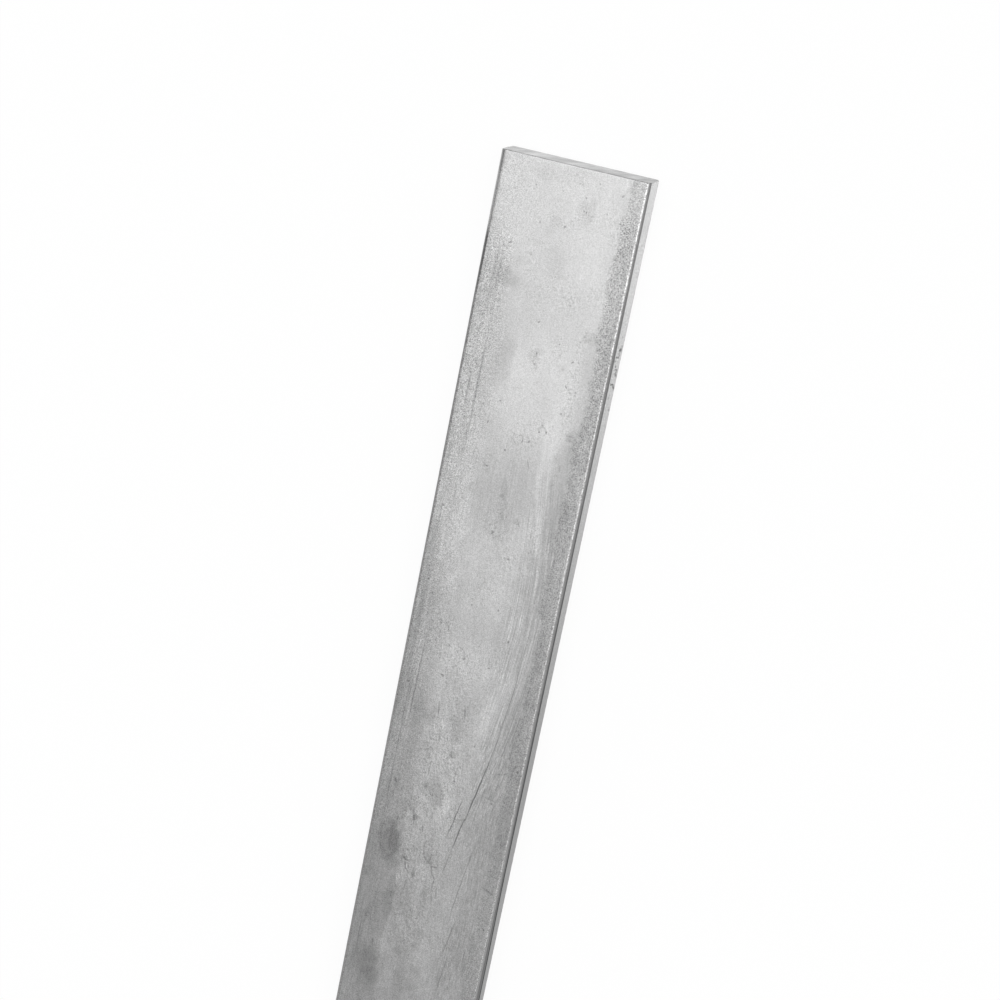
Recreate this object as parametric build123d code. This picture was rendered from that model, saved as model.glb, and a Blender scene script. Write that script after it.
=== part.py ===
from build123d import *
import os

# A length of hot-rolled steel flat bar, one piece of stock, square-sawn at both ends.
# It lies on a wide face. The origin is the middle of that face, width runs along X,
# length along Y and thickness along Z. Sizes are in millimetres.

WIDTH = 25.4  # side to side, a 1 in flat
THICKNESS = 6.35  # wide face to wide face, 1/4 in
LENGTH = 914.4  # sawn end to sawn end, a 36 in length
CORNER_RADIUS = 0.55  # the four long corners, as the finishing pass of the rolls leaves them
END_BREAK = 0.15  # the small flat that takes the burr off every edge of a sawn end


def rolled_section():
    """The cross-section the mill rolls: flat faces and flat sides with rounded corners.

    It stands at the +Y end of the bar and faces down its length.
    """
    first_cut = Plane.XZ.offset(-LENGTH / 2)
    middle_of_section = Pos(0, THICKNESS / 2)
    return first_cut * middle_of_section * RectangleRounded(WIDTH, THICKNESS, CORNER_RADIUS)


def flat_bar():
    """The section run out to length, with the edges of both sawn ends broken."""
    stock = extrude(rolled_section(), amount=LENGTH)
    sawn_ends = stock.faces().filter_by(Axis.Y)
    bar = chamfer(sawn_ends.edges(), length=END_BREAK)
    bar.label = "flat_bar"
    return bar


os.makedirs("parts", exist_ok=True)
export_step(flat_bar(), "parts/flat_bar.step")
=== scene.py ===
"""The looks of a length of plain hot-rolled steel flat bar, and the pale stage it lies on.

The file is laid out as an add-on: the settings hold the sizes and colours, one operator makes
the bar, one makes the stage, and the panel lists both. Sizes are in metres, and names that end
in _MM hold millimetres, which is what the steel's material works in.
"""

from functools import reduce
from math import atan2, cos, degrees, hypot, pi, radians, sin
from operator import add

import bmesh
import bpy
from mathutils import Matrix, Vector, noise


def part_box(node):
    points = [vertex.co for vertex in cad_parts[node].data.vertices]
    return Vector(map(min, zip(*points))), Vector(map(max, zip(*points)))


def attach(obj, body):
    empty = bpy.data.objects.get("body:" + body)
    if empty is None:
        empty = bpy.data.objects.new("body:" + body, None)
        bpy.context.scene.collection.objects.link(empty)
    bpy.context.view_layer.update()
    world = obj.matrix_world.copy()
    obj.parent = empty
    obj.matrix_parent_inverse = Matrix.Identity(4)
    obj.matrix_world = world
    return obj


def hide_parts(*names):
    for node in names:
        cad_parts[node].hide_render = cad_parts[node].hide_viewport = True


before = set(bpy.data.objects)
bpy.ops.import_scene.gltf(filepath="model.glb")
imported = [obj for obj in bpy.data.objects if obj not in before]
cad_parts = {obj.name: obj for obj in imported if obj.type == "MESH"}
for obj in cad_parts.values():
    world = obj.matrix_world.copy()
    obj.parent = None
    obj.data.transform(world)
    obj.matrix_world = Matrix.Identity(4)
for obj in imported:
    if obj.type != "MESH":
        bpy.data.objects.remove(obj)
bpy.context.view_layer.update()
BAR_LOW, BAR_HIGH = (Vector(corner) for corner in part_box("flat_bar"))

bl_info = {
    "name": "Steel Flat Bar",
    "version": (1, 0, 0),
    "blender": (4, 5, 0),
    "location": "3D View > Sidebar > Flat Bar",
    "description": "Rolled and sawn steel flat bar on a pale stage",
    "category": "Object",
}

MM = 0.001
SIDE = BAR_HIGH.x  # the flat sides stand this far from the centre line
SAWN_END = BAR_HIGH.y  # the end that the camera looks at
TOP = BAR_HIGH.z
SIDE_MM, SAWN_END_MM, TOP_MM = SIDE / MM, SAWN_END / MM, TOP / MM


# ---------------------------------------------------------------- settings


class BarSizes(bpy.types.PropertyGroup):
    """Sizes of the rolled and sawn edges."""

    corner_radius: bpy.props.FloatProperty(
        name="Corner radius",
        description="Radius that the rolls leave on the four long corners",
        default=0.55 * MM,
        subtype="DISTANCE",
        unit="LENGTH",
        precision=5,
    )
    end_break: bpy.props.FloatProperty(
        name="End break",
        description="Width of the broken edge round a sawn end",
        default=0.15 * MM,
        subtype="DISTANCE",
        unit="LENGTH",
        precision=5,
    )
    corner_wander: bpy.props.FloatProperty(
        name="Corner wander",
        description="How far the long corners wander inwards along the bar",
        default=0.04 * MM,
        subtype="DISTANCE",
        unit="LENGTH",
        precision=5,
    )


class SteelFinish(bpy.types.PropertyGroup):
    """Colours and polish of the steel."""

    bare: bpy.props.FloatVectorProperty(
        name="Bare steel",
        description="Colour of the cleaned, rolled surface",
        default=(0.568, 0.568, 0.568),
        subtype="COLOR",
        min=0.0,
        max=1.0,
    )
    roughness: bpy.props.FloatProperty(
        name="Roughness",
        description="Roughness of the rolled surface",
        default=0.37,
        subtype="FACTOR",
        min=0.0,
        max=1.0,
    )
    grain: bpy.props.FloatProperty(
        name="Grain",
        description="Strength of the fine grain",
        default=1.0,
        min=0.0,
        max=2.0,
    )


class StageLight(bpy.types.PropertyGroup):
    """The floor and the light of the stage."""

    floor: bpy.props.FloatVectorProperty(
        name="Floor",
        description="Colour of the floor",
        default=(0.96, 0.96, 0.96),
        subtype="COLOR",
        min=0.0,
        max=1.0,
    )
    overhead: bpy.props.FloatProperty(
        name="Overhead light",
        description="Strength of the soft overhead light",
        default=0.63 * pi,
        min=0.0,
    )
    ceiling: bpy.props.FloatProperty(
        name="Ceiling",
        description="Brightness of the studio's ceiling beside its white walls",
        default=0.33,
        min=0.0,
        max=1.0,
    )


# ---------------------------------------------------------------- shader expressions


class Wire:
    """A shader value. Arithmetic on it adds Math nodes to its tree."""

    def __init__(self, shading, socket):
        self.shading = shading
        self.socket = socket

    def __add__(self, other):
        return self.shading.math("ADD", self, other)

    __radd__ = __add__

    def __sub__(self, other):
        return self.shading.math("SUBTRACT", self, other)

    def __rsub__(self, other):
        return self.shading.math("SUBTRACT", other, self)

    def __mul__(self, other):
        return self.shading.math("MULTIPLY", self, other)

    __rmul__ = __mul__

    def __truediv__(self, other):
        return self.shading.math("DIVIDE", self, other)

    def __abs__(self):
        return self.shading.math("ABSOLUTE", self)


class Shading:
    """The nodes of a material or a world, which start empty."""

    def __init__(self, owner):
        owner.use_nodes = True
        self.tree = owner.node_tree
        self.tree.nodes.clear()

    def node(self, kind, settings=None, sockets=None, output=0):
        """Adds a node: its settings first, then its sockets' values or links."""
        made = self.tree.nodes.new(kind)
        for name, value in (settings or {}).items():
            setattr(made, name, value)
        for name, value in (sockets or {}).items():
            if isinstance(value, Wire):
                self.tree.links.new(value.socket, made.inputs[name])
            else:
                made.inputs[name].default_value = value
        return Wire(self, made.outputs[output]) if made.outputs else None

    def math(self, operation, *values):
        return self.node("ShaderNodeMath", {"operation": operation}, dict(enumerate(values)))

    def least(self, one, other):
        return self.math("MINIMUM", one, other)

    def most(self, one, other):
        return self.math("MAXIMUM", one, other)

    def clamped(self, value):
        return self.least(self.most(value, 0.0), 1.0)

    def ramp(self, value, start, stop, low=0.0, high=1.0):
        """Goes smoothly from low to high as value goes from start to stop."""
        ends = {"Value": value, "From Min": start, "From Max": stop, "To Min": low, "To Max": high}
        settings = {"interpolation_type": "SMOOTHSTEP", "clamp": False}
        return self.node("ShaderNodeMapRange", settings, ends)

    def dot(self, one, other):
        sockets = {0: one, 1: other}
        return self.node("ShaderNodeVectorMath", {"operation": "DOT_PRODUCT"}, sockets, "Value")

    def joined(self, x, y, z):
        """A vector of three values."""
        return self.node("ShaderNodeCombineXYZ", None, {0: x, 1: y, 2: z})

    def parted(self, vector):
        """The three values of a vector."""
        split = self.node("ShaderNodeSeparateXYZ", None, {0: vector})
        return [Wire(self, socket) for socket in split.socket.node.outputs]

    def scaled(self, vector, scale, turn=0.0, shift=(0.0, 0.0, 0.0)):
        """Stretches a pattern's place, turns it about the bar's length and shifts it."""
        sockets = {"Vector": vector, "Scale": scale, "Rotation": (0.0, turn, 0.0), "Location": shift}
        return self.node("ShaderNodeMapping", {"vector_type": "POINT"}, sockets)

    def noise(self, place, per_mm, stretch=None, detail=0.0, distortion=0.0, roughness=0.5):
        """Soft noise about 0, with about per_mm waves in each millimetre."""
        sockets = {
            "Vector": self.scaled(place, stretch) if stretch else place,
            "Scale": per_mm,
            "Detail": detail,
            "Roughness": roughness,
            "Distortion": distortion,
        }
        return self.node("ShaderNodeTexNoise", {"noise_dimensions": "3D"}, sockets) - 0.5

    def place_mm(self):
        """The surface's place in the bar's own frame, in millimetres."""
        place = self.node("ShaderNodeTexCoord", output="Object")
        return self.scaled(place, (1 / MM,) * 3)

    def tinted(self, colour, tone):
        """A colour times a tone that changes over the surface."""
        settings = {"data_type": "RGBA", "blend_type": "MULTIPLY"}
        return self.node("ShaderNodeMix", settings, {0: 1.0, 6: (*colour, 1.0), 7: tone}, output=2)


# ---------------------------------------------------------------- the steel's material

# Marks on the top face near the sawn end, in millimetres: across from the centre line, back
# from the end, half width, half length, turn in degrees, and the change of tone inside.
SOFT_STAINS = (
    (-13.0, 31.0, 5.6, 15.5, 0, -0.15),
    (-13.0, 84.0, 5.2, 15.0, 0, -0.13),
    (-8.6, 147.5, 2.6, 4.2, 0, -0.09),
    (-8.0, 135.5, 2.6, 3.0, 0, -0.06),
    (-1.3, 145.5, 1.6, 4.0, 0, -0.06),
    (-5.0, 70.0, 2.5, 9.0, 0, 0.06),
    (10.6, 70.0, 1.6, 9.0, 0, 0.06),
    (10.6, 102.0, 1.6, 9.0, 0, 0.05),
    (5.0, 102.0, 2.4, 9.0, 0, 0.05),
    (-12.2, 54.5, 0.7, 8.0, 0, -0.07),
    (11.9, 33.0, 0.4, 12.0, 0, -0.1),
    (-1.6, 56.5, 5.4, 6.0, 0, -0.08),
    (8.4, 54.0, 2.2, 7.5, 0, -0.10),
    (8.6, 76.0, 2.6, 20.0, 0, -0.10),
    (9.5, 112.0, 4.2, 20.0, 0, -0.12),
    (-5.3, 34.6, 1.5, 3.6, 0, -0.14),
    (-0.2, 32.0, 0.7, 1.6, 0, -0.12),
    (4.5, 32.3, 0.7, 0.6, 0, -0.08),
    (-5.9, 16.9, 1.6, 0.9, 0, -0.06),
    (-7.2, 20.1, 1.6, 1.6, 0, -0.12),
    (-1.7, 10.6, 0.9, 1.4, 0, -0.08),
    (-0.4, 15.4, 1.5, 2.2, 0, -0.06),
    (3.3, 6.6, 1.1, 1.6, 0, -0.08),
    (-4.4, 2.3, 2.2, 0.8, 0, -0.05),
    (-1.0, 1.4, 6.0, 0.9, 0, -0.03),
    (11.0, 10.0, 1.0, 2.0, 0, -0.06),
    (-9.6, 18.6, 0.6, 2.0, 0, -0.06),
    (-7.0, 20.6, 2.2, 1.2, 0, -0.05),
    (-6.0, 98.2, 1.1, 1.6, 0, -0.14),
    (-0.9, 99.5, 1.2, 2.2, 0, -0.14),
    (-2.5, 111.2, 1.8, 2.2, 0, -0.14),
    (-6.0, 115.0, 1.0, 1.6, 0, -0.16),
    (-0.5, 130.9, 0.7, 3.0, 0, -0.1),
    (7.6, 134.0, 1.0, 6.0, 0, -0.05),
    (4.0, 96.1, 0.9, 3.2, 0, 0.08),
    (-6.0, 84.0, 3.6, 10.0, 0, 0.04),
    (-0.5, 113.0, 0.9, 3.0, -4, 0.18),
    (-6.4, 106.6, 0.7, 1.8, -20, 0.12),
    (-7.4, 60.5, 1.2, 6.0, 0, 0.12),
    (5.6, 51.5, 1.2, 9.5, -4, 0.08),
    (0.0, 86.5, 5.0, 3.2, 0, 0.07),
    (2.2, 131.0, 3.2, 13.0, 0, 0.08),
    (6.0, 14.0, 3.4, 6.5, 0, 0.04),
    (1.2, 38.0, 7.0, 7.5, 0, 0.11),
    (2.0, 88.0, 5.5, 20.0, 0, 0.07),
    (-5.0, 112.0, 2.6, 14.0, 0, 0.08),
    (-12.4, 22.0, 1.1, 22.0, 0, -0.06),
    (0.3, 114.0, 1.6, 6.0, 0, 0.07),
    (10.6, 8.0, 1.8, 10.0, 0, -0.05),
    (11.2, 22.0, 1.5, 10.0, 0, -0.06),
    (8.8, 38.0, 1.4, 10.0, 0, -0.07),
    (8.3, 9.0, 1.6, 9.0, 0, -0.04),
    (10.5, 132.0, 2.4, 9.0, 0, 0.04),
    (-10.6, 38.0, 2.0, 9.0, 0, 0.06),
    (-8.6, 126.0, 4.5, 16.0, 0, -0.03),
    (0.5, 69.0, 4.0, 8.0, 0, 0.03),
    (8.3, 118.0, 1.8, 10.0, 0, -0.04),
    (5.0, 118.0, 1.8, 10.0, 0, 0.02),
)
RAGGED_STAINS = (
    (-8.6, 122.7, 1.9, 3.8, -8, -0.17),
    (-7.9, 122.1, 1.1, 2.6, -12, -0.16),
    (-7.3, 126.2, 1.1, 1.8, 0, -0.13),
    (-6.5, 134.4, 1.1, 2.8, 0, -0.07),
    (-6.3, 131.0, 0.7, 2.2, 0, -0.08),
    (-8.5, 146.2, 1.6, 2.8, 0, -0.13),
    (-6.7, 149.0, 1.3, 1.6, 0, -0.12),
    (-0.3, 131.0, 0.5, 1.5, -10, -0.12),
    (-0.8, 133.8, 0.4, 1.6, 0, -0.08),
    (0.2, 138.2, 1.2, 0.7, 0, -0.1),
    (0.1, 140.2, 0.6, 1.4, 0, -0.12),
    (-4.3, 138.4, 0.8, 0.7, 0, -0.1),
    (-2.9, 140.4, 1.0, 0.7, 0, -0.07),
    (-3.2, 142.5, 0.8, 1.0, 0, -0.11),
    (0.6, 145.4, 0.7, 0.8, 0, -0.12),
    (0.3, 148.4, 0.7, 1.3, 0, -0.1),
    (-6.3, 142.6, 1.0, 1.9, 0, 0.09),
    (-4.6, 142.8, 0.8, 1.2, 0, 0.08),
    (-4.3, 148.6, 1.1, 2.4, 0, 0.07),
    (-3.6, 137.2, 0.6, 1.3, 0, 0.08),
    (-5.0, 128.4, 1.0, 2.2, 0, 0.08),
    (-1.8, 126.6, 1.0, 1.6, 0, 0.07),
    (8.5, 26.9, 1.6, 1.0, 0, -0.09),
    (8.3, 43.9, 1.0, 1.0, 0, -0.06),
    (-9.65, 35.6, 0.45, 0.8, 0, -0.2),
    (-1.0, 55.4, 0.5, 1.9, 0, -0.09),
    (2.4, 60.4, 0.5, 0.4, 0, -0.14),
    (-0.5, 58.0, 0.5, 3.4, 0, -0.07),
    (-0.5, 104.0, 0.9, 0.45, -30, -0.24),
    (-5.3, 104.3, 0.7, 0.3, -25, -0.24),
    (-4.1, 111.0, 0.4, 0.4, 0, -0.26),
    (-4.8, 117.1, 0.4, 0.6, 0, -0.3),
    (-0.7, 124.5, 0.6, 0.5, -40, -0.14),
    (-5.3, 125.1, 0.5, 0.35, 0, -0.16),
    (-0.9, 123.4, 1.0, 0.9, 0, -0.08),
    (-3.2, 127.3, 0.3, 0.8, 0, -0.24),
    (-6.3, 116.9, 0.9, 0.6, 0, 0.2),
    (-4.3, 113.0, 0.5, 0.9, 0, 0.16),
    (-3.2, 98.9, 0.35, 0.8, 0, 0.18),
    (-6.1, 104.0, 0.6, 2.2, -15, 0.1),
)
# Strokes: across and back at the start and at the stop, half width and change of tone.
STROKES = (
    (-12.25, -4.0, -12.5, 17.0, 0.5, -0.34),
    (-8.95, 22.5, -8.9, 47.5, 0.15, -0.11),
    (-8.95, 32.0, -9.0, 46.0, 0.13, -0.18),
    (-9.9, 15.8, -10.0, 26.0, 0.3, -0.16),
    (-9.2, 17.0, -9.3, 23.5, 0.2, -0.14),
    (-10.4, 37.4, -10.45, 42.2, 0.2, -0.2),
    (-9.2, 46.0, -9.3, 53.0, 0.3, -0.16),
    (-11.3, 63.0, -11.5, 97.0, 0.8, -0.1),
    (-11.0, 76.4, -11.2, 90.4, 0.3, -0.12),
    (-1.9, 120.8, -2.2, 121.8, 0.12, -0.14),
    (-2.2, 121.8, -1.8, 123.8, 0.13, -0.18),
    (-1.8, 123.8, -0.8, 124.6, 0.2, -0.2),
    (-0.5, 122.9, -0.7, 124.3, 0.14, -0.26),
    (-0.7, 124.4, -0.1, 125.3, 0.26, -0.24),
    (-0.1, 125.2, 0.9, 125.1, 0.16, -0.34),
    (-0.15, 125.3, 0.2, 126.6, 0.14, -0.3),
    (0.2, 126.5, 0.85, 127.4, 0.13, -0.28),
    (0.8, 127.6, 0.65, 129.6, 0.13, -0.26),
    (0.9, 130.0, 1.0, 131.8, 0.13, -0.2),
    (-5.6, 124.9, -4.9, 125.4, 0.22, -0.28),
    (-5.0, 125.3, -4.2, 125.5, 0.16, -0.3),
    (-5.05, 125.5, -4.75, 126.9, 0.15, -0.36),
    (-4.75, 126.8, -4.0, 127.7, 0.13, -0.34),
    (-4.25, 129.2, -4.2, 130.8, 0.13, -0.26),
    (-5.35, 115.6, -4.8, 118.2, 0.16, -0.34),
    (-3.2, 118.0, -3.0, 119.3, 0.14, -0.3),
    (-7.9, 117.8, -7.9, 118.7, 0.13, -0.36),
    (-10.75, 139.0, -10.7, 145.0, 0.1, -0.22),
    (-10.3, 138.6, -10.3, 143.4, 0.09, -0.2),
    (-8.0, 141.6, -7.9, 143.3, 0.12, -0.26),
    (-2.9, 145.2, -3.3, 147.2, 0.1, 0.14),
    (8.9, 138.6, 8.8, 140.6, 0.11, -0.26),
    (-9.4, 85.5, -9.9, 103.0, 0.14, 0.16),
    (-9.25, 85.5, -9.35, 98.0, 0.13, -0.28),
    (-10.45, 91.0, -10.5, 118.0, 0.1, -0.26),
    (8.8, 84.0, 8.0, 96.0, 0.18, 0.12),
    (9.1, 79.5, 8.7, 85.5, 0.14, 0.16),
    (9.7, 64.2, 9.75, 66.3, 0.12, 0.24),
    (-4.6, 95.2, -4.35, 97.3, 0.12, -0.26),
    (0.1, 94.8, 0.4, 97.1, 0.12, -0.36),
    (-3.4, 100.4, -3.3, 102.4, 0.1, -0.26),
    (-3.9, 106.2, -4.1, 109.0, 0.1, -0.26),
    (0.95, 105.8, 0.7, 108.6, 0.1, -0.26),
    (1.6, 128.4, 1.55, 131.0, 0.12, -0.16),
    (8.9, 0.4, 8.95, 2.2, 0.22, 0.12),
    (7.8, 90.5, 6.9, 99.2, 0.1, -0.16),
    (7.3, 94.5, 6.75, 98.6, 0.08, -0.14),
    (7.0, 98.0, 6.0, 104.6, 0.1, -0.4),
    (6.05, 104.0, 4.1, 114.8, 0.11, -0.56),
    (3.95, 114.8, 2.9, 120.4, 0.11, -0.54),
    (2.75, 121.6, 2.05, 125.4, 0.09, -0.26),
    (2.9, 111.6, 1.5, 118.8, 0.1, -0.48),
    (6.5, 120.4, 5.7, 126.6, 0.09, -0.24),
    (5.7, 126.2, 4.95, 132.6, 0.09, -0.3),
    (6.0, 134.2, 5.05, 140.2, 0.09, -0.28),
    (6.0, 141.4, 5.15, 148.2, 0.09, -0.28),
    (8.4, 80.0, 7.6, 95.0, 0.11, -0.2),
    (9.5, 126.0, 11.8, 127.0, 0.14, -0.24),
    (10.9, 133.5, 11.4, 134.1, 0.2, -0.14),
    (7.9, 105.0, 9.6, 104.5, 0.2, -0.16),
    (6.4, 109.6, 9.0, 110.0, 0.2, -0.14),
    (4.1, 33.6, 5.0, 32.9, 0.2, -0.12),
    (3.1, 115.3, 4.1, 114.7, 0.16, -0.2),
    (10.0, 116.4, 11.0, 115.6, 0.16, -0.2),
    (-4.6, 15.4, -4.2, 15.9, 0.3, -0.14),
    (3.2, 43.0, 4.0, 43.5, 0.12, -0.2),
    (4.0, 43.5, 4.2, 44.2, 0.12, -0.22),
    (2.7, 43.6, 3.0, 44.2, 0.12, -0.18),
    (7.6, 43.7, 9.2, 43.7, 0.14, -0.2),
    (-0.4, 45.7, 0.3, 45.6, 0.1, -0.18),
    (0.3, 45.6, 0.6, 46.4, 0.1, -0.22),
    (-1.4, 46.3, -1.2, 46.7, 0.13, -0.22),
    (-0.8, 46.8, -0.5, 47.3, 0.12, -0.2),
    (2.0, 49.4, 2.6, 50.9, 0.11, -0.24),
    (7.6, 48.9, 7.7, 50.0, 0.16, -0.22),
    (-5.6, 51.5, -4.7, 52.3, 0.16, -0.18),
    (-1.5, 56.6, -0.7, 56.5, 0.3, -0.2),
    (-3.0, 84.5, -2.1, 84.9, 0.13, -0.22),
    (-2.1, 84.9, -1.9, 86.2, 0.12, -0.2),
    (2.4, 84.9, 2.8, 86.4, 0.13, -0.22),
    (-7.2, 80.1, -7.1, 81.4, 0.14, -0.2),
    (-3.6, 88.4, -3.0, 88.0, 0.14, -0.18),
    (6.5, 95.4, 7.0, 96.8, 0.16, -0.2),
)
# Zones with crackled, specked texture, in the same form with its strength.
CRACKLED = (
    (-2.5, 119.0, 4.2, 23.0, 0, 0.75),
    (1.8, 103.0, 3.6, 9.0, 0, 0.15),
    (-7.4, 82.0, 1.6, 2.2, 0, 0.8),
    (-0.6, 86.6, 5.2, 3.2, 0, 0.5),
    (-3.0, 94.0, 4.0, 7.0, 0, 0.25),
    (6.7, 34.2, 1.0, 7.4, 0, 0.8),
    (3.4, 29.4, 1.0, 1.9, 0, 0.7),
    (-0.2, 32.4, 0.9, 2.0, 0, 0.6),
    (-5.0, 41.4, 2.0, 2.0, 0, 0.6),
    (3.6, 43.7, 1.7, 1.3, 0, 0.7),
    (0.5, 46.2, 2.6, 1.2, 0, 0.8),
    (8.4, 44.0, 1.4, 1.2, 0, 0.6),
    (5.6, 61.5, 1.1, 3.0, 0, 0.8),
    (5.4, 67.6, 3.4, 1.4, 0, 0.6),
    (-0.8, 60.8, 1.8, 3.6, 0, 0.7),
    (2.2, 65.0, 1.2, 3.4, 0, 0.6),
    (8.8, 63.8, 1.0, 1.8, 0, 0.8),
    (-4.5, 51.6, 2.0, 1.4, 0, 0.5),
    (-1.0, 74.0, 4.5, 4.0, 0, 0.35),
    (-3.7, 18.0, 1.2, 1.4, 0, 0.6),
    (0.8, 18.0, 1.2, 1.4, 0, 0.6),
    (3.4, 20.6, 1.6, 1.6, 0, 0.6),
    (6.2, 19.6, 1.0, 1.2, 0, 0.7),
    (8.3, 20.0, 1.0, 2.2, 0, 0.6),
    (8.4, 8.4, 1.0, 3.2, 0, 0.6),
    (3.2, 6.8, 1.1, 1.2, 0, 0.8),
    (-5.8, 7.2, 1.4, 4.4, 0, 0.5),
    (-0.6, 2.2, 4.0, 1.6, 0, 0.5),
    (-0.4, 9.4, 3.6, 1.2, 0, 0.5),
    (0.0, 22.2, 5.0, 2.2, 0, 0.5),
    (-0.6, 26.4, 1.0, 1.0, 0, 0.5),
    (8.0, 27.0, 1.2, 1.2, 0, 0.6),
)
PIT_WIDTH = 0.8  # of a pit's length
PIT_TONE = -0.44
# Single pits of the top face: across, back and half length.
PITS = (
    (4.7, 2.0, 0.16),
    (8.8, 3.1, 0.18),
    (9.1, 7.4, 0.16),
    (6.8, 6.5, 0.1),
    (-4.0, 10.1, 0.16),
    (0.3, 10.1, 0.16),
    (-5.9, 4.4, 0.12),
    (2.9, 4.6, 0.13),
    (2.8, 6.8, 0.14),
    (3.4, 7.1, 0.16),
    (-8.2, 14.6, 0.24),
    (-0.8, 26.3, 0.17),
    (3.5, 29.0, 0.13),
    (-0.1, 31.5, 0.17),
    (6.1, 31.4, 0.17),
    (-0.1, 33.4, 0.18),
    (6.0, 35.7, 0.17),
    (6.0, 40.3, 0.16),
    (-4.6, 40.7, 0.14),
    (3.0, 44.2, 0.13),
    (4.2, 44.2, 0.14),
    (-5.9, 44.8, 0.16),
    (0.5, 46.5, 0.14),
    (1.6, 46.3, 0.17),
    (-2.1, 48.8, 0.17),
    (-4.6, 52.2, 0.15),
    (-10.8, 60.8, 0.25),
    (-1.4, 63.1, 0.22),
    (2.2, 67.0, 0.2),
    (-10.7, 74.0, 0.22),
    (-9.6, 76.3, 0.16),
    (-2.3, 76.6, 0.17),
    (2.3, 76.3, 0.17),
    (5.1, 81.2, 0.2),
    (-1.9, 86.3, 0.17),
    (2.8, 86.8, 0.17),
    (-5.1, 90.3, 0.25),
    (-10.8, 93.0, 0.17),
    (3.0, 101.3, 0.13),
    (11.5, 103.5, 0.2),
    (0.8, 108.5, 0.15),
    (8.1, 110.5, 0.18),
    (-9.6, 111.4, 0.26),
    (11.4, 133.8, 0.14),
)
# Nicks on the right side, in the form of strokes: back from the sawn end, and height.
SIDE_NICKS = (
    (26.0, 3.2, 26.3, 2.4, 0.2, -0.2),
    (27.6, 2.2, 27.9, 1.2, 0.16, -0.35),
    (28.1, 3.3, 28.2, 2.0, 0.15, -0.5),
    (28.2, 1.9, 28.7, 1.0, 0.16, -0.45),
    (28.4, 2.5, 28.6, 1.8, 0.2, -0.5),
    (28.8, 2.3, 28.9, 3.3, 0.15, -0.4),
    (29.1, 4.6, 29.5, 3.0, 0.15, -0.5),
    (29.5, 3.0, 29.2, 1.8, 0.15, -0.45),
    (29.7, 5.0, 30.0, 4.2, 0.15, -0.4),
    (30.9, 3.9, 31.1, 2.8, 0.14, -0.5),
    (31.6, 3.4, 31.9, 1.4, 0.16, -0.5),
    (32.2, 3.2, 32.4, 1.6, 0.14, -0.45),
    (32.7, 2.6, 32.9, 0.9, 0.14, -0.45),
    (33.9, 4.6, 34.4, 2.2, 0.16, -0.5),
    (34.5, 2.4, 35.1, 0.9, 0.18, -0.55),
    (36.1, 3.8, 36.4, 3.2, 0.3, -0.2),
    (38.6, 1.8, 39.0, 1.0, 0.2, -0.35),
    (28.0, 4.4, 28.2, 3.7, 0.15, 0.25),
    (29.3, 3.6, 29.8, 2.4, 0.14, 0.25),
    (31.3, 3.0, 31.5, 2.0, 0.15, 0.2),
    (37.3, 4.8, 37.5, 4.4, 0.2, 0.3),
)


class BarPlace:
    """Where a point of the bar's surface is, as shader values in millimetres."""

    def __init__(self, s, corner_radius):
        self.point = s.place_mm()
        self.across, self.along, self.up = s.parted(self.point)
        self.back = SAWN_END_MM - self.along  # back from the sawn end that the camera looks at
        self.radius = corner_radius / MM
        self.from_side = SIDE_MM - abs(self.across)
        self.from_face = TOP_MM / 2 - abs(self.up - TOP_MM / 2)
        self.from_end = SAWN_END_MM - abs(self.along)
        self.find_corner(s)
        self.wide_face = s.ramp(self.turn, 0.12, 0.02)
        self.side_face = s.ramp(self.turn, 0.95, 1.0)
        self.upper = s.ramp(self.up, TOP_MM * 0.4, TOP_MM * 0.6)
        self.on_top = self.wide_face * self.upper
        self.on_right = s.ramp(self.across, 0.0, 1.0)
        self.near = s.ramp(self.back, 175.0, 145.0)  # 1 where the named marks are
        self.fading = s.ramp(self.back, 380.0, 146.0)  # a longer way to the plain rest of the bar
        self.sawn = s.ramp(self.from_end, 0.08, 0.03)

    def find_corner(self, s):
        """How far a corner has turned, from 0 on a wide face to 1 on a side, and the way round it."""
        sideways = s.clamped(1 - self.from_side / self.radius)
        upwards = s.clamped(1 - self.from_face / self.radius)
        self.turn = s.math("ARCTAN2", sideways, upwards) / (pi / 2)
        past_corner = s.most(self.from_face - self.radius, 0.0) * s.ramp(self.turn, 0.9, 1.0)
        before_corner = s.most(self.from_side - self.radius, 0.0)
        self.round_corner = self.turn * (self.radius * pi / 2) + past_corner - before_corner


def mark(s, plane, row, soft):
    """The change of tone of one mark, a turned ellipse with a soft rim."""
    x, y, half_width, half_length, turn, change = row
    cosine, sine = cos(radians(turn)), sin(radians(turn))
    squares = []
    for toward_x, toward_y, half in ((cosine, sine, half_width), (-sine, cosine, half_length)):
        part = s.dot(plane, (toward_x / half, toward_y / half, -(toward_x * x + toward_y * y) / half))
        squares.append(part * part)
    return s.ramp(squares[0] + squares[1], (1 + soft) ** 2, (1 - soft) ** 2, 0.0, change)


def marks(s, plane, table, soft):
    """The summed change of tone of the marks in a table."""
    return reduce(add, (mark(s, plane, row, soft) for row in table))


def strokes(s, plane, table, soft):
    """The summed change of tone of strokes that are given by their two ends."""
    rows = []
    for x0, y0, x1, y1, half_width, change in table:
        turn = degrees(atan2(x0 - x1, y1 - y0))
        half_length = hypot(x1 - x0, y1 - y0) / 2
        rows.append(((x0 + x1) / 2, (y0 + y1) / 2, half_width, half_length, turn, change))
    return marks(s, plane, rows, soft)


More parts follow.
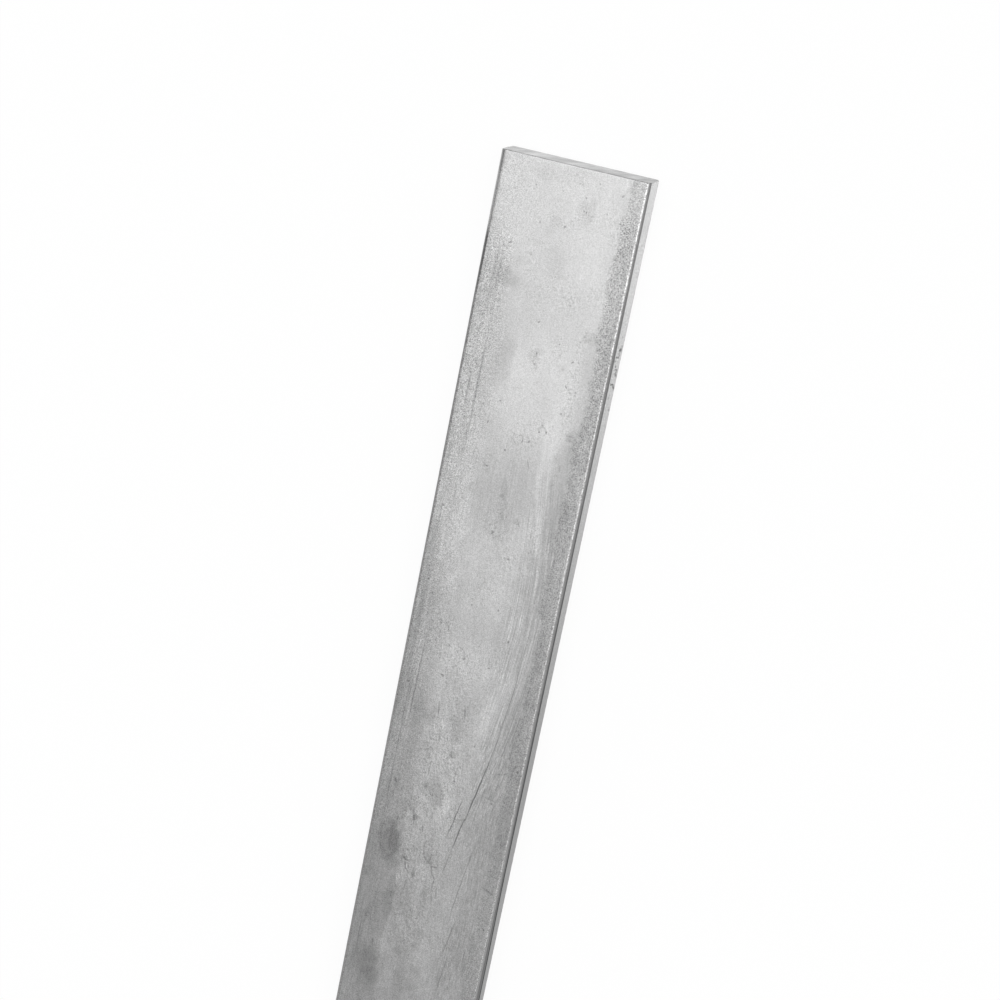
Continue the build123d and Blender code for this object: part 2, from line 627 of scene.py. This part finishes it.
def wrinkled_plane(s, point, x, y, per_mm, detail, reach):
    """Two coordinates and a 1, shifted by noise so that outlines on them are ragged."""
    shift_x = s.noise(point, per_mm, detail=detail)
    shift_y = s.noise(point, per_mm, stretch=(-1.0, 1.0, 1.0), detail=detail)
    return s.joined(x + shift_x * reach, y + shift_y * reach, 1.0)


class RolledSteel:
    """Hot-rolled steel, feature by feature. A tone of 1 is the bare steel's own colour.

    All distances are in millimetres, and those along the bar are back from the sawn end.
    """

    def __init__(self, s, sizes, finish):
        self.s = s
        self.at = BarPlace(s, sizes.corner_radius)
        self.finish = finish
        self.find_borders()
        self.find_rough_patches()

    def find_borders(self):
        """The grainy borders along both edges of the wide faces, with wavy inner edges."""
        s, point, back, across = self.s, self.at.point, self.at.back, self.at.across
        wave = s.noise(point, 0.1, stretch=(0.2, 1.0, 1.0), detail=3, roughness=0.55)
        right_edge = 2.9 + wave * 4.0
        left_edge = 3.2 + s.noise(point, 0.07, stretch=(0.2, 1.0, 1.0), detail=2) * 7.0
        self.speckle = s.noise(point, 1.2, detail=2)
        from_right = SIDE_MM - across + self.speckle * 1.6
        from_left = SIDE_MM + across + self.speckle * 1.6
        self.right_border = s.ramp(from_right, right_edge + 0.6, right_edge - 0.4)
        self.right_haze = s.ramp(from_right, right_edge + 2.2, right_edge - 0.6) * s.ramp(back, 20.0, 40.0)
        self.left_border = s.ramp(from_left, left_edge + 1.2, left_edge - 0.8)
        self.left_grain = s.ramp(from_left, s.ramp(back, 22.0, 30.0, 6.2, 8.2), 4.0)
        self.clumps = s.noise(point, 0.7, stretch=(1.0, 0.5, 1.0), detail=2)

    def find_rough_patches(self):
        """Where the wide faces are rougher than elsewhere."""
        s, at = self.s, self.at
        self.rough_end = s.ramp(at.back, 30.0, 110.0) * at.near + (1 - at.near)
        self.soft_plane = wrinkled_plane(s, at.point, at.across, at.back, per_mm=0.35, detail=3.0, reach=4.0)
        self.crackled = marks(s, self.soft_plane, CRACKLED, soft=0.5) * at.on_top
        patchy = s.noise(at.point, 0.28, stretch=(1.0, 0.6, 1.0), detail=3, distortion=0.4, roughness=0.6)
        bordered = s.most(self.left_border, self.right_border * at.near)
        patchy = s.ramp(patchy, -0.02, 0.12) * (1 - at.near * at.upper * 0.6) * (1 - bordered)
        self.patch = patchy + self.crackled

    def border_grain(self):
        """How strong the grain is in the two borders."""
        s, at, back = self.s, self.at, self.at.back
        smoother = 1 - s.ramp(back, 112.0, 128.0) * at.near * 0.85
        right_gain = s.ramp(back, 42.0, 58.0, 1.12, 0.92) - s.ramp(back, 90.0, 125.0) * at.near * 0.36
        right_gain = right_gain - s.ramp(back, 8.0, 5.0) * 0.4 + s.ramp(abs(back - 10.0), 2.5, 1.5) * 0.3
        left_gain = s.ramp(back, 10.0, 16.0, 0.34, 0.96) - s.ramp(back, 45.0, 52.0) * 0.24
        left_grain = s.most(self.left_border, self.left_grain * 0.75) * smoother * left_gain
        return s.most(self.right_border * right_gain, left_grain)

    def grain(self):
        """Fine grain, strongest in the borders and in the rough patches."""
        s, at, rough_end, patch = self.s, self.at, self.rough_end, self.patch
        medium_stretch = (1.0, 0.36, 1.0)
        medium_grain = {"detail": 2, "distortion": 0.7, "roughness": 0.6}
        self.fine = s.noise(at.point, 7.5)
        self.medium = s.noise(at.point, 2.3, stretch=medium_stretch, **medium_grain)
        shifted = s.scaled(at.point, medium_stretch, shift=(0.11, 0.08, 0.0))
        beside = s.noise(shifted, 2.3, **medium_grain)
        border_grain = self.border_grain()
        ripples = s.noise(at.point, 1.6, stretch=(0.8, 1.8, 1.0), detail=2, roughness=0.6)
        fine_depth = 0.54 + rough_end * 0.24 + patch * 0.2 + border_grain * (1.3 - rough_end * 0.5)
        emboss_depth = 0.04 + rough_end * 0.12 + patch * (0.36 + rough_end * 0.32)
        rippled = s.least(ripples + 0.05, 0.0) * patch * s.ramp(at.back, 60.0, 48.0) * at.near
        grain = self.fine * fine_depth + (self.medium - beside) * emboss_depth + rippled
        return (grain * 0.94 + s.least(grain, 0.0) * 0.14) * self.finish.grain

    def mottling(self):
        """Cloudy mottling, and thin wandering contour lines."""
        s, point, near = self.s, self.at.point, self.at.near
        self.cloud = s.noise(point, 0.2, stretch=(1.0, 0.5, 1.0), detail=5, distortion=0.5, roughness=0.6)
        drift = s.noise(point, 0.02, stretch=(0.4, 1.0, 0.4), detail=1)
        mottle = self.cloud * (0.18 + self.rough_end * 0.3) + drift * (1 - near) * 0.4
        contour = s.noise(point, 0.55, stretch=(1.0, 0.7, 1.0), detail=3, distortion=0.9)
        lines = s.ramp(abs(contour), 0.016, 0.0) * s.ramp(self.cloud, 0.06, -0.08)
        light_lines = s.ramp(abs(contour - 0.03), 0.018, 0.0) * s.ramp(self.cloud, 0.06, -0.08)
        return mottle + light_lines * 0.035 - lines * (0.05 + self.rough_end * 0.10)

    def drawn_place(self):
        """The place on which roll lines run straight. They bend beside the scratches."""
        s, at = self.s, self.at
        past_bend = s.least(at.back, 114.0) - 74.0
        out = s.math("SQRT", past_bend * past_bend + 400.0) - 20.0
        bend = s.ramp(at.across, -2.0, 5.0) * at.on_top * out * 0.17
        shortened = at.along * 0.02 - s.most(at.back - 100.0, 0.0) * 0.06
        return s.joined(at.across + bend, shortened, at.up)

    def roll_lines(self):
        """Lines that the rolls draw out along the bar."""
        s, at, back, across = self.s, self.at, self.at.back, self.at.across
        drawn = self.drawn_place()
        self.roll = s.noise(drawn, 3.0, detail=3, roughness=0.7)
        line_gain = s.ramp(back, 42.0, 74.0, 0.0, 1.4) - s.ramp(back, 104.0, 128.0) * 0.7
        right_lines = s.ramp(across, 2.5, 5.5) * line_gain * (1 - self.right_border * 0.65)
        left_lines = s.ramp(across, -7.8, -9.0) * s.ramp(back, 13.0, 18.0)
        everywhere = s.ramp(back, 85.0, 105.0) * (0.22 + s.ramp(across, 0.0, 3.0) * 0.2)
        everywhere = everywhere + s.ramp(back, 42.0, 50.0) * s.ramp(back, 66.0, 60.0) * 0.4
        near_hairs = s.ramp(back, 26.0, 16.0) * s.ramp(across, -2.0, 3.0) * 0.22
        far_lines = s.ramp(s.noise(at.point, 0.1, stretch=(1.0, 0.2, 1.0), detail=1), -0.05, 0.15)
        lined = s.most(s.most(right_lines, left_lines), everywhere) * at.near + far_lines * (1 - at.near)
        streaky = s.noise(at.point, 0.55, stretch=(1.0, 0.1, 1.0), detail=3, roughness=0.6)
        hairs = s.noise(drawn, 6.0, detail=1) * (right_lines + everywhere + near_hairs) * at.near
        return self.roll * (0.04 + lined * 0.56) + hairs * 0.45 + streaky * (0.05 + self.rough_end * 0.16)

    def speckles(self):
        """Irregular dark pits in crowds, with dark and light specks among them."""
        s, at = self.s, self.at
        crowd = s.noise(at.point, 0.2, stretch=(1.0, 0.6, 1.0), detail=1) * 1.2 + self.crackled * 0.6
        cells = s.node("ShaderNodeTexVoronoi", {"feature": "F1"}, {"Vector": at.point, "Scale": 1.15})
        pit_size = s.ramp(crowd, -0.1, 0.6, 0.1, 0.3) + self.speckle * 0.3
        pits = s.ramp(cells + self.fine * 0.12, pit_size, pit_size * 0.5)
        specks = s.noise(at.point, 2.2, detail=2, roughness=0.6)
        rare = s.ramp(crowd, -0.1, 0.5, 0.22, 0.1)
        dark_specks = s.ramp(specks, rare, rare + 0.14)
        light_specks = s.ramp(specks, 0 - rare, -0.14 - rare)
        return light_specks * 0.1 - pits * (0.34 - at.near * 0.16) - dark_specks * 0.26

    def named_marks(self):
        """Stains, streaks, scratches and single pits of the top face."""
        s, at = self.s, self.at
        place = (s, at.point, at.across, at.back)
        pit_plane = wrinkled_plane(*place, per_mm=1.4, detail=1.0, reach=0.8)
        ragged_plane = wrinkled_plane(*place, per_mm=0.9, detail=3.0, reach=1.8)
        stroke_plane = wrinkled_plane(*place, per_mm=0.5, detail=1.0, reach=0.25)
        soft_stains = marks(s, self.soft_plane, SOFT_STAINS, soft=0.55)
        stains = soft_stains + marks(s, ragged_plane, RAGGED_STAINS, soft=0.3)
        pit_marks = [(x, y, half * PIT_WIDTH, half, 0, PIT_TONE) for x, y, half in PITS]
        pitted = marks(s, pit_plane, pit_marks, soft=0.6)
        stroked = strokes(s, stroke_plane, STROKES, soft=0.4) + pitted
        return (1 + stains * at.on_top) * (1 + stroked * at.on_top)

    def border_shade(self):
        """How much darker the borders are than the middle of the wide faces."""
        s, at, back = self.s, self.at, self.at.back
        right_shade = self.right_border * 0.16 + self.right_haze * 0.09
        right_shade = right_shade * (1 - s.ramp(back, 108.0, 122.0) * at.near * 0.45)
        shade = right_shade + self.left_border * (1 - at.near * at.upper) * 0.16
        return shade * (1 + self.clumps * s.ramp(back, 45.0, 55.0, 1.0, 0.4))

    def left_shade(self):
        """A darker zone of the top face, left of the scratches."""
        s, at = self.s, self.at
        wander = s.noise(at.point, 0.45, stretch=(1.0, 0.35, 1.0), detail=3)
        zone = s.ramp(at.across + wander * 4.0, -5.5, -6.5) * s.ramp(at.back, 88.0, 98.0)
        return zone * at.near * at.on_top * 0.15

    def wide_faces(self):
        """The tone of the two rolled wide faces, and their border shade."""
        wide = (1 + self.mottling()) * (1 + self.roll_lines()) * (1 + self.speckles())
        wide = wide * self.named_marks()
        border_shade = self.border_shade()
        return wide * (1 - border_shade) * (1 - self.left_shade()), border_shade

    def sides(self):
        """The tone of the narrow sides: painted light that falls from bright at the sawn end to dark about
        115 mm back, a slow random drift further back, and a few nicks.
        """
        s, at = self.s, self.at
        side_plane = wrinkled_plane(s, at.point, at.back, at.up, per_mm=1.2, detail=2.0, reach=1.2)
        nicks = strokes(s, side_plane, SIDE_NICKS, soft=0.4) * at.on_right * 1.9
        self.side_drift = s.noise(at.point, 0.012, stretch=(0.1, 1.0, 0.1), detail=1)
        # Painted light: the sides are bright near the sawn end and darker further back, as the light falls
        # along them.
        tone = s.ramp(at.back, -15.0, 115.0, 1.27, 0.48) * at.fading
        tone = tone + (0.9 + self.side_drift * 0.8) * (1 - at.fading)
        side_lines = s.noise(at.point, 1.2, stretch=(1.0, 0.15, 1.0), detail=3)
        return tone * (1 + nicks) * (1 + side_lines * 0.16 + self.cloud * 0.15)

    def left_corner_shade_depth(self):
        """How dark the left corner's painted shade band is along the bar."""
        s, at, back = self.s, self.at, self.at.back
        depth = s.ramp(back, 4.2, 2.8, 0.14, 0.27)
        depth = depth + s.ramp(back, 11.5, 15.0) * 0.48 - s.ramp(back, 16.0, 32.0) * 0.1
        depth = depth - s.ramp(back, 60.0, 80.0) * 0.1 + s.ramp(back, 108.0, 122.0) * at.near * 0.12
        return depth * s.ramp(self.way_round, 0.3, 0.7, 1.0, 0.7)

    def painted_corner_shade(self, facing, reach):
        """Where a long corner carries a painted shade band, and where that band stops."""
        s, at, back = self.s, self.at, self.at.back
        inwards = 0.06 + s.ramp(back, 3.8, 2.6) * 0.28
        inwards = inwards + s.ramp(back, 12.5, 15.0) * s.ramp(back, 26.0, 18.0) * 0.26
        start = 0.22 - (1 - at.on_right) * (inwards * at.upper * at.near + 0.1)
        outwards = 0.1 * facing + reach * 0.85 + s.ramp(back, 12.0, 35.0) * facing * 0.3
        stop = at.radius * pi / 2 + 0.12 + outwards + s.ramp(back, 122.0, 148.0) * facing * 0.9
        dark = s.ramp(self.way_round, start, start + 0.3)
        return dark * s.ramp(self.way_round, stop + 0.2, stop - 0.25), stop

    def painted_corner_highlight(self, reach):
        """The painted highlight line along a long corner, which is brighter than the rest."""
        s, at = self.s, self.at
        corner_highlight = s.ramp(abs(at.round_corner - (0.1 + self.jag * 0.3)), 0.17, 0.05)
        corner_highlight = corner_highlight * (0.35 + at.on_right * at.upper * 0.65)
        gain = s.ramp(at.back, 12.0, 32.0, 0.34, 0.12) - reach * 0.18 + self.side_drift * 0.5
        return corner_highlight * (s.most(gain, 0.02) * (1 + self.jag * 3.0) + self.fine * 1.3)

    def long_corners(self):
        """The tone of the long corners, with a painted shade band and a painted highlight line, and the
        crease in that band that has lost its shine, which deepens the painted shade.
        """
        s, at = self.s, self.at
        self.jag = s.noise(at.point, 1.5, stretch=(0.2, 1.0, 0.2), detail=3, roughness=0.7)
        self.way_round = at.round_corner + self.jag * 0.12
        facing = at.upper * at.on_right * at.fading
        reach = s.ramp(at.back, 0.0, 140.0) * facing
        dark, dark_stop = self.painted_corner_shade(facing, reach)
        # How deep the painted shade is on the right corner and on the left one.
        right_depth = 0.54 - reach * 0.14 + s.ramp(self.way_round, 0.5, 0.95) * (0.16 + reach * 0.36)
        depth = self.left_corner_shade_depth() * (1 - at.on_right) + right_depth * at.on_right
        tone = (1 - dark * (depth + self.fine * 0.45)) * (1 + self.painted_corner_highlight(reach))
        shade_crease = dark * s.ramp(self.way_round, dark_stop - 0.9, dark_stop - 0.4) * at.on_right * 0.9
        return tone, shade_crease

    def sawn_ends(self):
        """The tone of the sawn ends, with faint slanted saw lines."""
        s, at = self.s, self.at
        slanted = s.scaled(at.point, (1.0, 0.0, 1.0), turn=radians(35))
        saw = s.noise(slanted, 0.8, stretch=(1.0, 1.0, 0.1), detail=4, roughness=0.7)
        broad = s.noise(at.point, 0.35, stretch=(1.0, 0.0, 0.4), detail=2)
        tone = 1.02 + saw * 1.3 + broad * 0.8 + self.fine * 0.5
        return tone - s.ramp(at.across, 2.5, 5.0) * 0.16

    def painted_end_rim_shade(self):
        """How much painted shade darkens the broken edge round a sawn end. It stays dark in places."""
        s, at = self.s, self.at
        breaks = s.ramp(s.noise(at.point, 0.5, stretch=(1.0, 0.0, 0.3), detail=3), -0.12, 0.1)
        return s.ramp(at.from_end, 0.24, 0.08) * (1 - at.sawn) * (0.2 + breaks * 0.26)

    def build(self):
        """Brings the features together in one metal shader."""
        s, at, finish = self.s, self.at, self.finish
        grain = self.grain()
        wide, border_shade = self.wide_faces()
        side = self.sides()
        corner, shade_crease = self.long_corners()
        end_tone = self.sawn_ends()
        flats = wide * at.wide_face + (1 - at.wide_face) * (1 + at.side_face * (side - 1))
        # The painted shade of the end rims goes in here, and so do the long corners' painted shade and
        # painted highlight.
        rolled = flats * corner * (1 + grain) * (1 - self.painted_end_rim_shade())
        tone = rolled + at.sawn * (end_tone - rolled)
        height = self.fine * 0.006 + self.medium * 0.004 + self.roll * 0.005
        sockets = {
            "Base Color": s.tinted(finish.bare, tone),
            "Metallic": 1 - shade_crease,
            "Roughness": finish.roughness + grain * 0.06 + at.sawn * 0.06 + border_shade * 0.15,
            "Specular IOR Level": 0.0,
            "Normal": s.node("ShaderNodeBump", None, {"Height": height, "Distance": MM, "Strength": 1.0}),
        }
        steel = s.node("ShaderNodeBsdfPrincipled", None, sockets)
        s.node("ShaderNodeOutputMaterial", None, {"Surface": steel})


def mill_steel(sizes, finish):
    """Hot-rolled steel: mottled and pitted faces, grainy borders, long corners with painted shade and a
    painted highlight, sides with painted light, and sawn ends with painted shade on their rims.
    """
    material = bpy.data.materials.new("rolled_steel")
    RolledSteel(Shading(material), sizes, finish).build()
    return material


# ---------------------------------------------------------------- the floor's material

WHITENED_RAYS = ("Is Camera Ray", "Is Glossy Ray", "Is Transmission Ray")
WHITENING = 0.92  # how far those rays see the floor as plain white
WHITE = (1.0, 1.0, 1.0, 1.0)


def plain_material(name, colour):
    """A matt material of one colour, which the camera and reflections see a little whiter."""
    material = bpy.data.materials.new(name)
    s = Shading(material)
    sockets = {"Base Color": (*colour, 1.0), "Roughness": 1.0, "Specular IOR Level": 0.0}
    matt = s.node("ShaderNodeBsdfPrincipled", None, sockets)
    white = s.node("ShaderNodeEmission", None, {"Color": WHITE, "Strength": 1.0})
    rays = [s.node("ShaderNodeLightPath", output=ray) for ray in WHITENED_RAYS]
    seen = reduce(s.most, rays) * WHITENING
    mixed = s.node("ShaderNodeMixShader", None, {0: seen, 1: matt, 2: white})
    s.node("ShaderNodeOutputMaterial", None, {"Surface": mixed})
    return material


# ---------------------------------------------------------------- the bar's mesh

WIDTH = BAR_HIGH.x - BAR_LOW.x
CORNER_SEGMENTS = 6
SUPPORT = 0.1 * MM  # a loop this far inside each flat keeps its shading flat
COLUMNS_ACROSS = 12  # of faces on a wide face, between those loops
COLUMNS_UP = 5  # of faces on a narrow side
FINE_STRETCH = 150 * MM  # the stretch at the sawn end that is cut finely
FINE_CUT = 0.4 * MM
COARSE_CUT = 1.5 * MM
CUT_TOLERANCE = 1e-7
FACES_AN_END = 0.9  # a normal that points this much along the bar is a sawn end's
SMOOTH_BELOW = 0.5  # and below this much, its face is shaded smooth

STRIPS = 4  # the skin lies on its map in this many strips
STRIP = (BAR_HIGH.y - BAR_LOW.y) / STRIPS
MAP_GAP = 0.6 * MM
GIRTH = 2 * (WIDTH + TOP)

WANDER_LENGTH = 1.1 * MM  # of the wandering of the corners
FINER = 3.1  # times as quick, for the finer wandering on it
CORNERS_APART = 10  # keeps the four corners from wandering alike


def cut_across(bm, place, normal):
    """Cuts every face of the mesh by a plane."""
    bmesh.ops.bisect_plane(
        bm,
        geom=bm.verts[:] + bm.edges[:] + bm.faces[:],
        dist=CUT_TOLERANCE,
        plane_co=place,
        plane_no=normal,
    )


def evenly(half, columns):
    """The places from -half to half that bound so many equal columns."""
    return [half * (2 * step / columns - 1) for step in range(columns + 1)]


def long_edges(bm, low, high):
    """The edges that run along the bar from about low to high."""
    found = []
    for edge in bm.edges:
        near, far = sorted(vert.co.y for vert in edge.verts)
        if abs(near - low) < SUPPORT / 2 and abs(far - high) < SUPPORT / 2:
            found.append(edge)
    return found


def break_edges(bm, edges, offset, segments):
    """Bevels edges, round with many segments and flat with one."""
    bmesh.ops.bevel(
        bm,
        geom=edges,
        offset=offset,
        offset_type="OFFSET",
        affect="EDGES",
        segments=segments,
        profile=0.5,
        material=-1,
    )


def sawn_length(sizes):
    """The bar as a plain length: rounded long corners and a broken edge round each sawn end."""
    bm = bmesh.new()
    middle = (BAR_LOW + BAR_HIGH) / 2
    place = Matrix.Translation(middle) @ Matrix.Diagonal((*(BAR_HIGH - BAR_LOW), 1))
    bmesh.ops.create_cube(bm, size=1, matrix=place)
    break_edges(bm, long_edges(bm, BAR_LOW.y, BAR_HIGH.y), sizes.corner_radius, CORNER_SEGMENTS)
    ends = [face for face in bm.faces if abs(face.normal.y) > FACES_AN_END]
    rims = {edge for face in ends for edge in face.edges}
    break_edges(bm, list(rims), sizes.end_break, 1)
    return bm


def cut_into_columns(bm, sizes):
    """Cuts the flats lengthways."""
    inset = sizes.corner_radius + SUPPORT
    for place in evenly(SIDE - inset, COLUMNS_ACROSS):
        cut_across(bm, (place, 0, 0), (1, 0, 0))
    for place in evenly(TOP / 2 - inset, COLUMNS_UP):
        cut_across(bm, (0, 0, TOP / 2 + place), (0, 0, 1))


def cut_into_rows(bm, sizes):
    """Cuts the bar into rows along its length, finer near the sawn end that the camera looks at."""
    row_end = SAWN_END - sizes.end_break - SUPPORT
    folds = [BAR_LOW.y + STRIP * step for step in range(1, STRIPS)]
    fine_from = SAWN_END - FINE_STRETCH
    cuts = sorted([-row_end, *folds, fine_from, row_end])
    for place in cuts:
        cut_across(bm, (0, place, 0), (0, 1, 0))
    for low, high in zip(cuts, cuts[1:]):
        rows = round((high - low) / (FINE_CUT if low >= fine_from else COARSE_CUT))
        bmesh.ops.subdivide_edges(bm, edges=long_edges(bm, low, high), cuts=rows)


def place_on_map(point, normal, strip):
    """Where a point of a face lies on the unrolled skin, in metres from the map's corner."""
    x, y, z = point
    across, along, up = normal
    if abs(along) > FACES_AN_END:
        far = along < 0
        beside = x - BAR_LOW.x if far else BAR_HIGH.x - x
        return STRIP + MAP_GAP + beside, z + (TOP + MAP_GAP) * far
    if abs(up) > abs(across):
        around = x - BAR_LOW.x if up < 0 else GIRTH - TOP - (x - BAR_LOW.x)
    else:
        around = WIDTH + z if across > 0 else GIRTH - z
    return y - BAR_LOW.y - strip * STRIP, around + strip * (GIRTH + MAP_GAP)


def lay_out_map(bm):
    """A map of the skin in strips side by side, which holds far more detail than one long strip."""
    layer = bm.loops.layers.uv.new("OFBake")
    map_size = STRIPS * (GIRTH + MAP_GAP)
    for face in bm.faces:
        nearest = min(loop.vert.co.y for loop in face.loops)
        strip = min(int((nearest - BAR_LOW.y + SUPPORT) / STRIP), STRIPS - 1)
        for loop in face.loops:
            u, v = place_on_map(loop.vert.co, face.normal, strip)
            loop[layer].uv = (u / map_size, v / map_size)


def wear_corners(bm, sizes):
    """Lets the rounded corners wander inwards a little, as rolled corners do."""
    middle = TOP / 2
    for vert in bm.verts:
        x, y, z = vert.co
        in_x = abs(x) - (SIDE - sizes.corner_radius)
        in_z = abs(z - middle) - (middle - sizes.corner_radius)
        if in_x <= 0 or in_z <= 0:
            continue
        inwards = Vector((-in_x if x > 0 else in_x, 0, -in_z if z > middle else in_z)).normalized()
        corner = Vector((CORNERS_APART * (x > 0), y / WANDER_LENGTH, CORNERS_APART * (z > middle)))
        wobble = noise.noise(corner) * 0.5 + noise.noise(corner * FINER) * 0.3
        vert.co += inwards * sizes.corner_wander * max(0.0, 0.5 + wobble)


def rolled_mesh(sizes):
    """The bar as one closed mesh, with its map for the baked picture of its skin."""
    bm = sawn_length(sizes)
    cut_into_columns(bm, sizes)
    cut_into_rows(bm, sizes)
    lay_out_map(bm)
    wear_corners(bm, sizes)
    for face in bm.faces:
        face.smooth = abs(face.normal.y) < SMOOTH_BELOW
    return bm


def make_piece(name, bm, material):
    """A new object from a bmesh, in the scene, at the origin."""
    mesh = bpy.data.meshes.new(name)
    bm.to_mesh(mesh)
    bm.free()
    mesh.materials.append(material)
    piece = bpy.data.objects.new(name, mesh)
    bpy.context.scene.collection.objects.link(piece)
    return piece


# ---------------------------------------------------------------- the stage

FLOOR_REACH = 8  # from the bar to the floor's edges
FLOOR_DROP = 0.02 * MM  # keeps the floor clear of the bar's underside

WALLS_UP_TO = 0.15  # the height of a direction, up to which it meets the white walls
CEILING_FROM = 0.5
OVERHEAD_FROM = Vector((0.15, 0.3, 0.94))
OVERHEAD_SPREAD = radians(76)

CAMERA_FROM_END = Vector((88.6, 46.9, 362.5)) * MM  # from the middle of the sawn end's top edge
AIM_FROM_END = Vector((-1.22, -57.35, 0)) * MM
CAMERA_ROLL = radians(11.526)
LENS = 83.27
SENSOR = 36


def lay_floor(stage):
    """The pale floor, just under the bar."""
    bm = bmesh.new()
    place = Matrix.Translation((0, 0, -FLOOR_DROP))
    bmesh.ops.create_grid(bm, x_segments=1, y_segments=1, size=FLOOR_REACH, matrix=place)
    floor = make_piece("stage_floor", bm, plain_material("pale_floor", stage.floor))


def surround_with_studio(scene, stage):
    """A studio with white walls, which darkens smoothly towards its ceiling."""
    world = bpy.data.worlds.new("studio")
    s = Shading(world)
    height = s.parted(s.node("ShaderNodeTexCoord", output="Generated"))[2]
    brightness = s.ramp(height, WALLS_UP_TO, CEILING_FROM, 1.0, stage.ceiling)
    background = s.node("ShaderNodeBackground", None, {"Color": WHITE, "Strength": brightness})
    s.node("ShaderNodeOutputWorld", None, {"Surface": background})
    scene.world = world


def hang_overhead_light(scene, stage):
    """One broad, soft light from above."""
    lamp = bpy.data.lights.new("overhead", "SUN")
    lamp.energy = stage.overhead
    lamp.angle = OVERHEAD_SPREAD
    overhead = bpy.data.objects.new("overhead", lamp)
    overhead.rotation_euler = OVERHEAD_FROM.to_track_quat("Z", "Y").to_euler()
    scene.collection.objects.link(overhead)


def stand_camera(scene):
    """The camera, which looks down on the bar from beyond its sawn end."""
    backwards = (CAMERA_FROM_END - AIM_FROM_END).normalized()
    right = Vector((0, 1, 0)).cross(backwards).normalized()
    up = backwards.cross(right)
    turned = Matrix((right, up, backwards)).transposed() @ Matrix.Rotation(CAMERA_ROLL, 3, "Z")
    stand = Vector((0, SAWN_END, TOP)) + CAMERA_FROM_END
    camera = bpy.data.objects.new("camera", bpy.data.cameras.new("camera"))
    camera.matrix_world = Matrix.Translation(stand) @ turned.to_4x4()
    camera.data.lens = LENS
    camera.data.sensor_width = SENSOR
    scene.collection.objects.link(camera)
    scene.camera = camera


# ---------------------------------------------------------------- operators


class FLATBAR_OT_rolled_stock(bpy.types.Operator):
    """Make the flat bar with its rolled faces, rounded corners and sawn ends"""

    bl_idname = "flat_bar.rolled_stock"
    bl_label = "Rolled Stock"

    def execute(self, context):
        sizes = context.scene.flat_bar_sizes
        steel = mill_steel(sizes, context.scene.flat_bar_finish)
        bar = make_piece("rolled_bar", rolled_mesh(sizes), steel)
        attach(bar, "root")
        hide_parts("flat_bar")
        return {"FINISHED"}


class FLATBAR_OT_stage(bpy.types.Operator):
    """Make the floor, the soft light and the camera"""

    bl_idname = "flat_bar.stage"
    bl_label = "Stage"

    def execute(self, context):
        scene = context.scene
        stage = scene.flat_bar_stage
        lay_floor(stage)
        surround_with_studio(scene, stage)
        hang_overhead_light(scene, stage)
        stand_camera(scene)
        scene.view_settings.view_transform = "Standard"
        return {"FINISHED"}


class FLATBAR_PT_panel(bpy.types.Panel):
    """Lists the flat bar's settings, each group above the operator that uses it."""

    bl_idname = "FLATBAR_PT_panel"
    bl_label = "Flat Bar"
    bl_space_type = "VIEW_3D"
    bl_region_type = "UI"
    bl_category = "Flat Bar"

    def draw(self, context):
        scene = context.scene
        self.list_settings(scene.flat_bar_sizes)
        self.list_settings(scene.flat_bar_finish)
        self.layout.operator(FLATBAR_OT_rolled_stock.bl_idname)
        self.list_settings(scene.flat_bar_stage)
        self.layout.operator(FLATBAR_OT_stage.bl_idname)

    def list_settings(self, settings):
        box = self.layout.box()
        for name in type(settings).__annotations__:
            box.prop(settings, name)


# ---------------------------------------------------------------- registering and running

CLASSES = (
    BarSizes,
    SteelFinish,
    StageLight,
    FLATBAR_OT_rolled_stock,
    FLATBAR_OT_stage,
    FLATBAR_PT_panel,
)


def register():
    for cls in CLASSES:
        bpy.utils.register_class(cls)
    bpy.types.Scene.flat_bar_sizes = bpy.props.PointerProperty(type=BarSizes)
    bpy.types.Scene.flat_bar_finish = bpy.props.PointerProperty(type=SteelFinish)
    bpy.types.Scene.flat_bar_stage = bpy.props.PointerProperty(type=StageLight)


def unregister():
    del bpy.types.Scene.flat_bar_stage
    del bpy.types.Scene.flat_bar_finish
    del bpy.types.Scene.flat_bar_sizes
    for cls in reversed(CLASSES):
        bpy.utils.unregister_class(cls)


def main():
    register()
    bpy.ops.flat_bar.rolled_stock()
    bpy.ops.flat_bar.stage()


if __name__ == "__main__":
    main()
